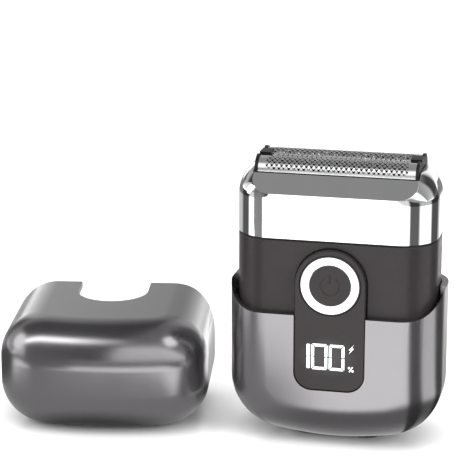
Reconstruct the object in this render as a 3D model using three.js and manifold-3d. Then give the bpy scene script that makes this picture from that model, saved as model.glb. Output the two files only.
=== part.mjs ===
// A pocket foil shaver with a lift-off travel cap: painted lower shell, dark mid housing, chromed head with two
// foils, push button with a light ring, display, battery, motor and reciprocating cutters.
// Millimetres, +Z up, the button side faces -Y. The origin is the middle of the foot that the shaver stands on.
import * as THREE from "three";
import { mergeVertices } from "three/addons/utils/BufferGeometryUtils.js";
import Module from "manifold-3d";

const wasm = await Module();
wasm.setup();

// Driving dimensions
const shell = { halfWidth: 30, halfDepth: 16, low: 0.4, high: 86, wall: 1.8 };
Object.assign(shell, { edgeRadius: 12.5, cornerRadius: 16, crownRadius: 85 });
const rim = { front: 38.5, level: 44.8, dipRadius: 8.5, dipHalfWidth: 30.2, gap: 0.3 };
const housing = { halfWidth: 27.9, halfDepth: 13.9, cornerRadius: 10.4, wall: 1.6, low: 30, high: 59 };
const head = { low: 59.5, high: 78, shoulder: 8, shoulderRadius: 10, cornerGrowth: 3.4, facetFoot: 71.9 };
const well = { halfX: 22.85, halfY: 9.2, floor: 74, throatX: 20.6, throatY: 8.25 };
const panel = { halfWidth: 9.8, low: 17.3, cornerRadius: 4.9, buttonZ: 47.5, front: -15.9, thickness: 3.1, gap: 0.15 };
const foil = { radius: 3.5, thickness: 0.2, spacing: 10.4, centreZ: 77, skirt: 0.2, halfLength: 21.7 };
const cutter = { halfLength: 19, radius: 3, bladeCount: 18, bladeThickness: 0.6, travel: 1.2 };
const cap = { x: -72.1, y: 24.2, yaw: 9.4, notchGap: 0.5 };
const foot = { halfLength: 12.85, halfWidth: 4.85 };

const colours = {
  graphite: { color: 0x6c6b6e, roughness: 0.34, metalness: 0.85 },
  chrome: { color: 0xe8e8ea, roughness: 0.06, metalness: 1 },
  darkPlastic: { color: 0x3a3637, roughness: 0.42, metalness: 0 },
  blackPlastic: { color: 0x141414, roughness: 0.5, metalness: 0 },
  whiteLight: { color: 0xffffff, roughness: 0.4, metalness: 0 },
  steel: { color: 0xb8babd, roughness: 0.28, metalness: 1 },
  greyPlastic: { color: 0x8a8c8e, roughness: 0.6, metalness: 0 },
  board: { color: 0x1c4a34, roughness: 0.55, metalness: 0 },
  rubber: { color: 0x1b1b1b, roughness: 0.85, metalness: 0 },
  brass: { color: 0xb89a55, roughness: 0.35, metalness: 1 },
  sleeve: { color: 0x2d5f8f, roughness: 0.45, metalness: 0 },
};

const radians = THREE.MathUtils.degToRad;
const shaver = new THREE.Group();

// Outlines
function arc(x, y, radius, from, to, steps = 6) {
  return Array.from({ length: steps + 1 }, (_, i) => {
    const angle = radians(from + ((to - from) * i) / steps);
    return new THREE.Vector2(x + radius * Math.cos(angle), y + radius * Math.sin(angle));
  });
}

function roundedRectangle(halfX, halfY, radius, steps = 6) {
  const [x, y] = [halfX - radius, halfY - radius];
  return [
    ...arc(x, y, radius, 0, 90, steps),
    ...arc(-x, y, radius, 90, 180, steps),
    ...arc(-x, -y, radius, 180, 270, steps),
    ...arc(x, -y, radius, 270, 360, steps),
  ];
}

const points = (...pairs) => pairs.map(([x, y]) => new THREE.Vector2(x, y));
const rectangle = (x0, y0, x1, y1) => points([x0, y0], [x1, y0], [x1, y1], [x0, y1]);

// The front outline of the closed shell, moved inwards by inset: gently crowned ends and round corners.
function shellOutline(inset) {
  const cornerX = shell.halfWidth - shell.cornerRadius;
  const reach = shell.crownRadius - shell.cornerRadius;
  const lean = THREE.MathUtils.radToDeg(Math.asin(cornerX / reach));
  const drop = Math.sqrt(reach ** 2 - cornerX ** 2);
  const lowCrown = shell.low + shell.crownRadius;
  const highCrown = shell.high - shell.crownRadius;
  const [corner, crown] = [shell.cornerRadius - inset, shell.crownRadius - inset];
  return [
    ...arc(0, lowCrown, crown, 270 - lean, 270 + lean, 4),
    ...arc(cornerX, lowCrown - drop, corner, 270 + lean, 360, 7).slice(1),
    ...arc(cornerX, highCrown + drop, corner, 0, 90 - lean, 7),
    ...arc(0, highCrown, crown, 90 - lean, 90 + lean, 4).slice(1),
    ...arc(-cornerX, highCrown + drop, corner, 90 + lean, 180, 7).slice(1),
    ...arc(-cornerX, lowCrown - drop, corner, 180, 270 - lean, 7).slice(0, -1),
  ];
}

// All that is above the line where the cap meets the lower shell, raised by lift: level at the sides and the back,
// with a round-cornered dip at the front
function aboveRim(lift) {
  const [flat, z] = [rim.dipHalfWidth - rim.dipRadius, rim.front + rim.dipRadius + lift];
  const dip = [
    ...arc(-flat, z, rim.dipRadius, 180, 270, 9),
    ...arc(flat, z, rim.dipRadius, 270, 360, 9),
    ...points([rim.dipHalfWidth, z + 5], [-rim.dipHalfWidth, z + 5]),
  ];
  return join(box(-40, 40, -20, 20, rim.level + lift, 100), alongY(dip, -20, 0));
}

// The tongue-shaped outline of the control panel, grown by grow: round top, softly cornered foot.
function tongueOutline(grow, low = panel.low - grow) {
  const [half, corner] = [panel.halfWidth + grow, panel.cornerRadius + grow];
  return [
    ...arc(half - corner, low + corner, corner, 270, 360),
    ...arc(0, panel.buttonZ, half, 0, 180, 14),
    ...arc(-half + corner, low + corner, corner, 180, 270),
  ];
}

// Solids and geometries
function solid(geometry) {
  const plain = geometry.clone();
  plain.deleteAttribute("normal");
  plain.deleteAttribute("uv");
  const merged = mergeVertices(plain, 1e-4);
  const mesh = new wasm.Mesh({
    numProp: 3,
    vertProperties: merged.attributes.position.array,
    triVerts: new Uint32Array(merged.index.array),
  });
  return new wasm.Manifold(mesh);
}

function geometryOf(body) {
  const { numProp, numVert, vertProperties, triVerts } = body.getMesh();
  const position = new Float32Array(numVert * 3);
  for (let i = 0; i < numVert; i++) {
    position.set(vertProperties.subarray(i * numProp, i * numProp + 3), i * 3);
  }
  const geometry = new THREE.BufferGeometry();
  geometry.setAttribute("position", new THREE.BufferAttribute(position, 3));
  geometry.setIndex(new THREE.BufferAttribute(triVerts, 1));
  geometry.computeVertexNormals();
  return geometry;
}

const axisX = new THREE.Vector3(1, 0, 0);
const axisY = new THREE.Vector3(0, 1, 0);
const axisZ = new THREE.Vector3(0, 0, 1);

function extrude(outline, depth) {
  return new THREE.ExtrudeGeometry(new THREE.Shape(outline), { depth, bevelEnabled: false });
}

// Prisms: an x-z outline from y0 to y1, a y-z outline from x0 to x1, and an x-y outline from z0 to z1
function alongY(outline, y0, y1) {
  const basis = new THREE.Matrix4().makeBasis(axisX, axisZ, axisY.clone().negate());
  return solid(extrude(outline, y1 - y0).applyMatrix4(basis).translate(0, y1, 0));
}

function alongX(outline, x0, x1) {
  const basis = new THREE.Matrix4().makeBasis(axisY, axisZ, axisX);
  return solid(extrude(outline, x1 - x0).applyMatrix4(basis).translate(x0, 0, 0));
}

const alongZ = (outline, z0, z1) => solid(extrude(outline, z1 - z0).translate(0, 0, z0));

function box(x0, x1, y0, y1, z0, z1) {
  const block = new THREE.BoxGeometry(x1 - x0, y1 - y0, z1 - z0);
  return solid(block.translate((x0 + x1) / 2, (y0 + y1) / 2, (z0 + z1) / 2));
}

function cylinder(radius, from, to, steps = 20) {
  const [start, end] = [new THREE.Vector3(...from), new THREE.Vector3(...to)];
  const along = end.clone().sub(start);
  const rod = new THREE.CylinderGeometry(radius, radius, along.length(), steps);
  rod.applyQuaternion(new THREE.Quaternion().setFromUnitVectors(axisY, along.clone().normalize()));
  const middle = start.add(end).multiplyScalar(0.5);
  return solid(rod.translate(middle.x, middle.y, middle.z));
}

const join = (...bodies) => bodies.reduce((a, b) => a.add(b));
const cut = (body, ...tools) => tools.reduce((a, b) => a.subtract(b), body);

// The closed pebble, moved inwards by inset: the front outline with its front and back edges fully rounded
function pebble(inset) {
  const radius = shell.edgeRadius - inset;
  const half = shell.halfDepth - inset;
  const body = new THREE.ExtrudeGeometry(new THREE.Shape(shellOutline(inset)), {
    depth: 2 * (half - radius),
    bevelThickness: radius,
    bevelSize: radius,
    bevelOffset: -radius,
    bevelSegments: 6,
  });
  const basis = new THREE.Matrix4().makeBasis(axisX, axisZ, axisY.clone().negate());
  return solid(body.applyMatrix4(basis).translate(0, half - radius, 0));
}

// A closed skin over level rings that run anticlockwise from above, lowest ring first
function loft(rings) {
  const count = rings[0].length;
  const index = [];
  for (let k = 0; k < rings.length - 1; k++) {
    for (let i = 0; i < count; i++) {
      const [a, b] = [k * count + i, k * count + ((i + 1) % count)];
      index.push(a, b, b + count, a, b + count, a + count);
    }
  }
  const top = (rings.length - 1) * count;
  for (let i = 1; i < count - 1; i++) {
    index.push(0, i + 1, i, top, top + i, top + i + 1);
  }
  const geometry = new THREE.BufferGeometry().setFromPoints(rings.flat());
  return solid(geometry.setIndex(index));
}

function add(name, body, look, group = shaver) {
  const mesh = new THREE.Mesh(geometryOf(body), new THREE.MeshStandardMaterial(colours[look]));
  mesh.name = name;
  group.add(mesh);
}

// Lower shell: the pebble's tub, open at the top, with a slot for the control panel and a charging port at the back
const port = { z: 13, halfWidth: 4.47, halfHeight: 1.63, wall: 0.32, inner: 8.9, outer: 15.7, gap: 0.35 };

function portOutline(grow) {
  const outline = roundedRectangle(port.halfWidth + grow, port.halfHeight + grow, port.halfHeight + grow - 0.01);
  return outline.map((p) => new THREE.Vector2(p.x, p.y + port.z));
}

function makeLowerShell() {
  const slot = alongY(tongueOutline(panel.gap), -20, -8);
  const portHole = alongY(portOutline(port.gap), 8, 20);
  const footHole = alongZ(roundedRectangle(foot.halfLength + 0.15, foot.halfWidth + 0.15, foot.halfWidth), -1, 6);
  add("lower_shell", cut(pebble(0), pebble(shell.wall), aboveRim(0), slot, portHole, footHole), "graphite");

  const plug = alongZ(roundedRectangle(foot.halfLength, foot.halfWidth, foot.halfWidth - 0.1), 0, 3.8);
  const flange = alongZ(roundedRectangle(foot.halfLength + 1.3, foot.halfWidth + 1.3, foot.halfWidth), 3.8, 4.6);
  add("base_foot", join(plug, flange), "rubber");
}

// Mid housing: the dark band, a tube that plugs into the lower shell, with bosses for the deck screws
const boss = { x: 22, y: 8, radius: 2.7, low: 42, high: 57, hole: 1.1 };
const corners = [[-1, -1], [1, -1], [1, 1], [-1, 1]];

function housingRing(inset) {
  return roundedRectangle(housing.halfWidth - inset, housing.halfDepth - inset, housing.cornerRadius - inset, 8);
}

function makeMidHousing() {
  let tube = cut(
    alongZ(housingRing(0), housing.low, housing.high),
    alongZ(housingRing(housing.wall), housing.low - 1, housing.high + 1),
    alongY(tongueOutline(panel.gap, housing.low - 10), -20, -10),
  );
  const inside = alongZ(housingRing(0.5), housing.low, housing.high);
  for (const [sx, sy] of corners) {
    const [x, y] = [sx * boss.x, sy * boss.y];
    const column = cylinder(boss.radius, [x, y, boss.low], [x, y, boss.high], 16).intersect(inside);
    tube = cut(join(tube, column), cylinder(boss.hole, [x, y, boss.low + 6], [x, y, boss.high + 1], 12));
  }
  add("mid_housing", tube, "darkPlastic");

  const gasket = cut(
    alongZ(housingRing(0.25), housing.high + 0.05, head.low - 0.05),
    alongZ(housingRing(housing.wall), housing.high - 1, head.low + 1),
  );
  add("head_gasket", gasket, "rubber");
}

// Control panel, light ring and push button
const ring = { outer: 8.3, inner: 5.95, flange: 9.2, front: -16 };
const display = { halfWidth: 7.6, front: -14.8, low: 21, high: 33 };
const button = { radius: 5.75, flange: 6.9, front: -16 };

function disc(radius, y0, y1, steps = 36) {
  return cylinder(radius, [0, y0, panel.buttonZ], [0, y1, panel.buttonZ], steps);
}

function makeControls() {
  const back = panel.front + panel.thickness;
  const plate = alongY(tongueOutline(0), panel.front, back);
  const { halfWidth, front, low, high } = display;
  const pocket = box(-halfWidth - 0.3, halfWidth + 0.3, front - 0.3, back + 1, low - 0.3, high + 0.3);
  add("control_panel", cut(plate, disc(ring.outer + 0.15, -20, -8), pocket), "darkPlastic");

  const guide = join(disc(ring.outer, ring.front, -12.3), disc(ring.flange, -12.6, -12));
  add("light_ring", cut(guide, disc(ring.inner, -20, -8)), "whiteLight");

  const pushed = join(
    disc(button.radius, button.front, -11.6),
    disc(button.flange, -11.6, -11),
    disc(1.3, -11, -10.75, 12),
  );
  add("power_button", pushed, "darkPlastic");
}

// Electronics: main board with switch and display, charging board with its socket, and the cell
const mainBoard = { front: -9, back: -8.1 };
const cell = { radius: 7, halfLength: 21.5, z: 22 };

function makeElectronics() {
  const { front, back } = mainBoard;
  add("main_board", box(-9.2, 9.2, front, back, 18, 56), "board");
  add("display_module", box(-display.halfWidth, display.halfWidth, display.front, front - 0.1, display.low, display.high), "blackPlastic");
  const switchBody = box(-2.6, 2.6, front - 0.9, front - 0.1, panel.buttonZ - 2.6, panel.buttonZ + 2.6);
  add("button_switch", join(switchBody, disc(1.2, front - 1.2, front - 0.9, 12)), "blackPlastic");

  const socket = cut(
    alongY(portOutline(0), port.inner, port.outer),
    alongY(portOutline(-port.wall), port.inner + 0.4, port.outer + 1),
  );
  add("charging_socket", socket, "steel");
  add("socket_tongue", box(-3.35, 3.35, port.inner + 0.5, port.outer - 0.8, port.z - 0.35, port.z + 0.35), "blackPlastic");
  add("charging_board", box(-9, 9, 7.9, port.inner - 0.1, 8.5, 26), "board");

  const can = cylinder(cell.radius, [-cell.halfLength, 0, cell.z], [cell.halfLength, 0, cell.z], 24);
  const button = cylinder(2.2, [cell.halfLength, 0, cell.z], [cell.halfLength + 1, 0, cell.z], 12);
  add("battery_cell", join(can, button), "sleeve");
}

// Chassis: a shelf in the mid housing, cheeks that hold the cell under it and the motor above it
const motor = { radius: 10, halfDepth: 7.5, low: 32.2, bell: 35.1, high: 57, boss: 3 };

function makeChassis() {
  const shelfLow = 30.6;
  const shelfHigh = 31.8;
  let frame = cut(
    alongZ(housingRing(housing.wall + 0.3), shelfLow, shelfHigh),
    box(-9.6, 9.6, -20, -7.8, shelfLow - 1, shelfHigh + 1),
  );
  for (const side of [-1, 1]) {
    const saddle = box(side * 15 - 0.8, side * 15 + 0.8, -7.7, 7.7, 15.5, shelfLow);
    const cheek = box(side * 11.2 - 0.8, side * 11.2 + 0.8, -6, 6, shelfHigh, 46);
    frame = join(frame, saddle, cheek);
  }
  const cellRoom = cylinder(cell.radius + 0.3, [-30, 0, cell.z], [30, 0, cell.z], 24);
  add("chassis", cut(frame, cellRoom), "greyPlastic");
}

// Motor with flats, its deck with guide posts, and the crank on its shaft
const guide = { y: 9.2, z: 66.5, radius: 1, postX: 17.5, postHalf: 1, halfLength: 19.3 };
const deck = { low: 57.3, high: 58.9 };
const crank = { throw: 1.2, pinRadius: 1, low: 59.6, high: 63, pinTop: 66.8 };

function motorSlice(z0, z1) {
  const round = cylinder(motor.radius, [0, 0, z0], [0, 0, z1], 28);
  return round.intersect(box(-20, 20, -motor.halfDepth, motor.halfDepth, z0, z1));
}

function makeMotor() {
  add("motor_end_bell", motorSlice(motor.low, motor.bell), "blackPlastic");
  const can = join(motorSlice(motor.bell + 0.2, motor.high), cylinder(motor.boss, [0, 0, motor.high], [0, 0, 58.4]));
  const shaftRoom = cylinder(1.3, [0, 0, 50], [0, 0, 60], 16);
  add("motor_can", cut(can, shaftRoom), "steel");

  let plate = cut(
    alongZ(housingRing(housing.wall + 0.3), deck.low, deck.high),
    cylinder(motor.boss + 0.6, [0, 0, 50], [0, 0, 60]),
  );
  for (const [sx, sy] of corners) {
    const [x, y] = [sx * guide.postX, sy * guide.y];
    const post = box(x - guide.postHalf, x + guide.postHalf, y - 1.6, y + 1.6, deck.high, guide.z + 1.8);
    plate = cut(join(plate, post), cylinder(boss.hole, [sx * boss.x, sy * boss.y, 50], [sx * boss.x, sy * boss.y, 60], 12));
  }
  for (const side of [-1, 1]) {
    const y = side * guide.y;
    plate = cut(plate, cylinder(guide.radius + 0.3, [-20, y, guide.z], [20, y, guide.z], 12));
    const rod = cylinder(guide.radius, [-guide.halfLength, y, guide.z], [guide.halfLength, y, guide.z], 12);
    add(side < 0 ? "guide_rod_front" : "guide_rod_rear", rod, "steel");
  }
  add("motor_deck", plate, "greyPlastic");

  corners.forEach(([sx, sy], i) => {
    const [x, y] = [sx * boss.x, sy * boss.y];
    const shank = cylinder(0.8, [x, y, 50], [x, y, deck.high + 0.1], 10);
    const screwHead = cylinder(1.6, [x, y, deck.high + 0.1], [x, y, deck.high + 1.2], 14);
    const cross = join(
      box(x - 1, x + 1, y - 0.2, y + 0.2, deck.high + 0.7, deck.high + 2),
      box(x - 0.2, x + 0.2, y - 1, y + 1, deck.high + 0.7, deck.high + 2),
    );
    add(`deck_screw_${i + 1}`, cut(join(shank, screwHead), cross), "steel");
  });

  add("motor_shaft", cylinder(1, [0, 0, 51], [0, 0, 61.6], 14), "steel");
  const hub = cylinder(3.4, [0, 0, crank.low], [0, 0, crank.high], 24);
  const weight = cylinder(5.4, [0, 0, crank.low], [0, 0, crank.low + 1.6], 24).intersect(box(-6, 0, -6, 6, 59, 62));
  const pin = cylinder(crank.pinRadius, [crank.throw, 0, crank.high - 0.6], [crank.throw, 0, crank.pinTop], 14);
  const bore = cylinder(1.3, [0, 0, 59], [0, 0, 61.9], 14);
  add("crank_hub", join(cut(join(hub, weight), bore), pin), "brass");
}

// Drive bridge: slides on the two rods, pushed by the crank pin, and carries both cutters and the trimmer blade
const bridge = { low: 64, high: 70, armLow: 68.2, studX: 12, studTop: 73.9 };
const sides = { front: -foil.spacing / 2, rear: foil.spacing / 2 };

function makeBridge() {
  let body = join(box(-7, 7, -6.6, 6.6, bridge.low, bridge.high), box(-6, 6, -0.8, 0.8, bridge.high - 1, 75.9));
  for (const y of Object.values(sides)) {
    body = join(body, box(-18.5, 18.5, y - 1.5, y + 1.5, bridge.armLow, bridge.high));
    for (const x of [-bridge.studX, bridge.studX]) {
      body = join(body, cylinder(1.2, [x, y, bridge.high - 1], [x, y, bridge.studTop], 12));
    }
    const out = Math.sign(y);
    const ear = box(-4.5, 4.5, Math.min(out * 6, out * 10.9), Math.max(out * 6, out * 10.9), 64.9, 68.1);
    const bore = cylinder(guide.radius + 0.35, [-9, out * guide.y, guide.z], [9, out * guide.y, guide.z], 12);
    body = cut(join(body, ear), bore);
  }
  const slot = box(-3.5, 3.5, -2.5, 2.5, bridge.low - 1, 67.6);
  add("drive_bridge", cut(body, slot), "greyPlastic");

  let blade = box(-cutter.halfLength, cutter.halfLength, -0.8, 0.8, 76, 79.2);
  for (let x = -comb.halfRow; x < comb.halfRow + 0.1; x += comb.pitch) {
    blade = cut(blade, box(x - comb.slot / 2, x + comb.slot / 2, -2, 2, 77.8, 80));
  }
  add("trimmer_blade", blade, "steel");
}

// Cutters: a carrier on two sprung studs, with a row of half-round blades on a spine
function spring(x, y) {
  const [turns, radius, low, high] = [4, 1.9, bridge.high + 0.35, 72.7];
  class Helix extends THREE.Curve {
    getPoint(t, target = new THREE.Vector3()) {
      const angle = 2 * Math.PI * turns * t;
      return target.set(x + radius * Math.cos(angle), y + radius * Math.sin(angle), low + (high - low) * t);
    }
  }
  const section = new THREE.Shape(arc(0, 0, 0.25, 0, 288, 4));
  return solid(new THREE.ExtrudeGeometry(section, { steps: turns * 9, extrudePath: new Helix() }));
}

function makeCutter(side) {
  const y = sides[side];
  const { halfLength, radius, bladeCount, bladeThickness } = cutter;
  let carrier = box(-halfLength, halfLength, y - 2.6, y + 2.6, 73, 75.2);
  for (const x of [-bridge.studX, bridge.studX]) {
    carrier = cut(carrier, cylinder(1.6, [x, y, 72], [x, y, 75], 12));
    add(`cutter_spring_${side}_${x < 0 ? "left" : "right"}`, spring(x, y), "steel");
  }
  add(`cutter_carrier_${side}`, carrier, "blackPlastic");

  const low = 75.3;
  const tilt = THREE.MathUtils.radToDeg(Math.asin((foil.centreZ - low) / radius));
  const halfRound = arc(y, foil.centreZ, radius, -tilt, 180 + tilt, 8);
  let blades = box(-halfLength, halfLength, y - 1, y + 1, low, low + 1.3);
  for (let i = 0; i < bladeCount; i++) {
    const x = -halfLength + (i * (2 * halfLength - bladeThickness)) / (bladeCount - 1);
    blades = join(blades, alongX(halfRound, x, x + bladeThickness));
  }
  add(`cutter_blades_${side}`, blades, "steel");
}

// Head shell: narrows into round shoulders, with a sloping facet front and back and a well for the foil cassette
function headRings(inset, low, high) {
  const start = head.high - head.shoulder;
  const arcHeights = [0, 2, 3.7, 5.2, 6.6].map((h) => start + h).filter((z) => z < high);
  return [low, ...arcHeights, high].map((z) => {
    const rise = Math.max(0, z - start);
    const radius = head.shoulderRadius - inset;
    const narrowing = radius - Math.sqrt(radius ** 2 - Math.min(rise, radius) ** 2);
    const halfX = housing.halfWidth - inset - narrowing;
    const corner = housing.cornerRadius + head.cornerGrowth * (rise / head.shoulder) ** 2 - inset;
    const ring = roundedRectangle(halfX, housing.halfDepth - inset, corner, 8);
    return ring.map((p) => new THREE.Vector3(p.x, p.y, z));
  });
}

// What a facet cuts away, at 45 degrees: side is -1 at the front and 1 at the back
function facet(side) {
  const [y, z, reach] = [side * housing.halfDepth, head.facetFoot, 12];
  const outline = points([y, z], [y - side * reach, z + reach], [y + side * 4, z + reach], [y + side * 4, z]);
  return alongX(side < 0 ? outline.reverse() : outline, -40, 40);
}

function makeHeadShell() {
  const body = cut(
    loft(headRings(0, head.low, head.high)),
    loft(headRings(housing.wall, head.low - 1, 72.4)),
    facet(-1),
    facet(1),
    box(-well.halfX, well.halfX, -well.halfY, well.halfY, well.floor, 90),
    box(-well.throatX, well.throatX, -well.throatY, well.throatY, 70, 80),
  );
  add("head_shell", body, "chrome");
}

// Foil cassette: a black frame with lobed end caps, two arched foils and the slotted comb between them
const comb = { halfDepth: 1.55, wall: 0.35, top: 79.9, low: 76.6, pitch: 1.35, slot: 0.6, halfRow: 17.55 };
const endCap = { inner: 21.8, outer: 22.6, radius: 3.9, tabInner: 19.4, tabHalf: 2.4, tabLow: 80.2, tabHigh: 80.85 };
const cassette = { low: 74.2, railInner: 8.35, railOuter: 8.95, railHigh: 76.6, plateInner: 20.5, plateOuter: 21.3 };

function archOutline(y, radius, low) {
  return [new THREE.Vector2(y + radius, low), ...arc(y, foil.centreZ, radius, 0, 180, 14), new THREE.Vector2(y - radius, low)];
}

function makeCassette(group) {
  const { low, railInner, railOuter, railHigh, plateInner, plateOuter } = cassette;
  let frame = null;
  for (const side of [-1, 1]) {
    const rail = box(-plateInner - 0.2, plateInner + 0.2, Math.min(side * railInner, side * railOuter),
      Math.max(side * railInner, side * railOuter), low, railHigh);
    const [x0, x1] = [Math.min(side * plateInner, side * plateOuter), Math.max(side * plateInner, side * plateOuter)];
    const plate = join(
      alongX(rectangle(-railOuter + 0.1, low + 0.1, railOuter - 0.1, railHigh - 0.1), x0, x1),
      alongX(archOutline(sides.front, foil.radius - 0.5, railHigh - 0.5), x0, x1),
      alongX(archOutline(sides.rear, foil.radius - 0.5, railHigh - 0.5), x0, x1),
    );
    frame = frame ? join(frame, rail, plate) : join(rail, plate);
  }
  add("cassette_frame", frame, "blackPlastic", group);

  for (const side of [-1, 1]) {
    const [x0, x1] = side < 0 ? [-endCap.outer, -endCap.inner] : [endCap.inner, endCap.outer];
    const lobes = join(
      alongX(archOutline(sides.front, endCap.radius, low + 0.3), x0, x1),
      alongX(archOutline(sides.rear, endCap.radius, low + 0.3), x0, x1),
      alongX(rectangle(-2, low + 0.3, 2, endCap.tabHigh), x0, x1),
      box(Math.min(side * endCap.tabInner, x0), Math.max(side * endCap.tabInner, x1), -endCap.tabHalf,
        endCap.tabHalf, endCap.tabLow, endCap.tabHigh),
    );
    add(side < 0 ? "end_cap_left" : "end_cap_right", lobes, "blackPlastic", group);
  }

  for (const [side, y] of Object.entries(sides)) {
    const low = foil.centreZ - foil.skirt;
    const sheet = cut(
      alongX(archOutline(y, foil.radius, low), -foil.halfLength, foil.halfLength),
      alongX(archOutline(y, foil.radius - foil.thickness, low - 1), -30, 30),
    );
    add(`foil_${side}`, sheet, "steel", group);
  }

  const halfX = plateInner - 0.1;
  let guard = cut(
    box(-halfX, halfX, -comb.halfDepth, comb.halfDepth, comb.low, comb.top),
    box(-30, 30, -comb.halfDepth + comb.wall, comb.halfDepth - comb.wall, comb.low - 1, comb.top - comb.wall),
  );
  for (let x = -comb.halfRow; x < comb.halfRow + 0.1; x += comb.pitch) {
    guard = cut(guard, box(x - comb.slot / 2, x + comb.slot / 2, -3, 3, comb.top - 1.1, comb.top + 1));
  }
  add("trimmer_comb", guard, "steel", group);
}

// Travel cap: the rest of the pebble, notched round the button; it lies on its back beside the shaver
function makeCap() {
  const notch = alongY(tongueOutline(cap.notchGap, 20), -20, -8);
  const group = new THREE.Group();
  add("cap_shell", cut(pebble(0).intersect(aboveRim(rim.gap)), pebble(shell.wall), notch), "graphite", group);
  // a half turn about the line between +Y and -Z lays the cap on its back with its closed end towards -Y
  group.quaternion.setFromAxisAngle(new THREE.Vector3(0, 1, -1).normalize(), Math.PI);
  group.position.set(0, rim.front, 0);
  const resting = new THREE.Group();
  resting.position.set(cap.x, cap.y, shell.halfDepth);
  resting.rotation.z = radians(cap.yaw);
  resting.add(group);
  shaver.add(resting);
}

makeLowerShell();
makeMidHousing();
makeControls();
makeElectronics();
makeChassis();
makeMotor();
makeBridge();
makeCutter("front");
makeCutter("rear");
makeHeadShell();
makeCassette(shaver);
makeCap();

export default shaver;
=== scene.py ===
import math

import bmesh
import bpy
from mathutils import Matrix, Vector


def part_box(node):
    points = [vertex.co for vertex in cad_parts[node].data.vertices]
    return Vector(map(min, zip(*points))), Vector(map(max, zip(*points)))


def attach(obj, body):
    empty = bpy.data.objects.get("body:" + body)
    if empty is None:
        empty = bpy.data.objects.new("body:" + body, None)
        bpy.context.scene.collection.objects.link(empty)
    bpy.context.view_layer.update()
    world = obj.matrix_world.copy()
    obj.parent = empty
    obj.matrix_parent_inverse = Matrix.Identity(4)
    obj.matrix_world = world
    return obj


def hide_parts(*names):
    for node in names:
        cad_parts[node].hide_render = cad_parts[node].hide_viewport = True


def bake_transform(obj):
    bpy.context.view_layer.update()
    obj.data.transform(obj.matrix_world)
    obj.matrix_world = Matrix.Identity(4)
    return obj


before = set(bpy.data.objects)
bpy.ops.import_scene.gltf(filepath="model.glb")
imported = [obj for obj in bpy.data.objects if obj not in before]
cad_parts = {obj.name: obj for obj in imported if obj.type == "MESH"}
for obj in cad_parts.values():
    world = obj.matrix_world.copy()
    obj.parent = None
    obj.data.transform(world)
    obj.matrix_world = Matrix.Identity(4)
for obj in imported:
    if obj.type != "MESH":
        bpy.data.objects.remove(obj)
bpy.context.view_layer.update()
mm = 0.001
axisX, axisY, axisZ = Vector((1, 0, 0)), Vector((0, 1, 0)), Vector((0, 0, 1))
scene = bpy.context.scene


def rad(degrees):
    return math.radians(degrees)


def direction(turn, height):
    # away from the shaver: degrees from the front towards the right, and degrees up
    turn, height = rad(turn), rad(height)
    return Vector((math.sin(turn) * math.cos(height), -math.cos(turn) * math.cos(height), math.sin(height)))


# camera: low and a little to the right of the shaver, with a long lens

view = {
    "target": (-30.13, 0.0, 55.76),
    "distance": 568.2,
    "azimuth": 12.97, "elevation": 15.57,
    "lens": 154.57,
}


def makeCamera():
    data = bpy.data.cameras.new("camera")
    data.lens, data.sensor_width = view["lens"], 36
    data.clip_start, data.clip_end = 0.01, 50
    camera = bpy.data.objects.new("camera", data)
    scene.collection.objects.link(camera)
    away = direction(view["azimuth"], view["elevation"])
    target = Vector(view["target"]) * mm
    camera.location = target + away * view["distance"] * mm
    camera.rotation_euler = away.to_track_quat("Z", "Y").to_euler()
    scene.camera = camera


makeCamera()
print("camera set")


# small helpers for meshes

def finishMesh(bm, name, sharp=35):
    # merges what lies on top of each other, turns the faces outwards and shades by angle
    bmesh.ops.remove_doubles(bm, verts=bm.verts, dist=1e-7)
    bmesh.ops.recalc_face_normals(bm, faces=bm.faces)
    return toObject(bm, name, sharp)


def toObject(bm, name, sharp=35):
    mesh = bpy.data.meshes.new(name)
    for face in bm.faces:
        face.smooth = True
    bm.to_mesh(mesh)
    bm.free()
    mesh.set_sharp_from_angle(angle=rad(sharp))
    piece = bpy.data.objects.new(name, mesh)
    scene.collection.objects.link(piece)
    return piece


def applyModifiers(piece):
    depsgraph = bpy.context.evaluated_depsgraph_get()
    mesh = bpy.data.meshes.new_from_object(piece.evaluated_get(depsgraph))
    piece.modifiers.clear()
    piece.data = mesh
    return piece


def carve(piece, *tools, operation="DIFFERENCE"):
    # cuts the tools out of the piece, adds them or keeps what they share, and throws the tools away
    for tool in tools:
        modifier = piece.modifiers.new("carve", "BOOLEAN")
        modifier.operation = operation
        modifier.solver = "EXACT"
        modifier.object = tool
        applyModifiers(piece)
        bpy.data.objects.remove(tool)
    return piece


def joined(name, *forms, sharp=35):
    # one solid out of several that overlap
    pieces = [finishMesh(form, name if i == 0 else "joinTool", sharp) for i, form in enumerate(forms)]
    return carve(pieces[0], *pieces[1:], operation="UNION")


def cutAway(piece, *forms):
    return carve(piece, *[finishMesh(form, "cutTool") for form in forms])


def dress(piece, body, material, *nodes, slot=None):
    # gives the piece its material and its body, and hides the CAD nodes that it stands for
    piece.data.materials.clear()
    piece.data.materials.append(material)
    for face in piece.data.polygons:
        face.material_index = 0
    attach(piece, body)
    if nodes:
        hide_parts(*nodes)
    return piece


def softEdges(piece, width, segments=2, angle=40):
    modifier = piece.modifiers.new("soft edges", "BEVEL")
    modifier.width = width * mm
    modifier.segments = segments
    modifier.limit_method = "ANGLE"
    modifier.angle_limit = rad(angle)
    modifier.use_clamp_overlap = True
    applyModifiers(piece)
    for face in piece.data.polygons:
        face.use_smooth = True
    piece.data.set_sharp_from_angle(angle=rad(50))
    return piece


def evenNormals(piece):
    # large flat faces keep their own normal, so cuts don't shade across them
    modifier = piece.modifiers.new("even normals", "WEIGHTED_NORMAL")
    modifier.keep_sharp = True
    applyModifiers(piece)
    return piece


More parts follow.
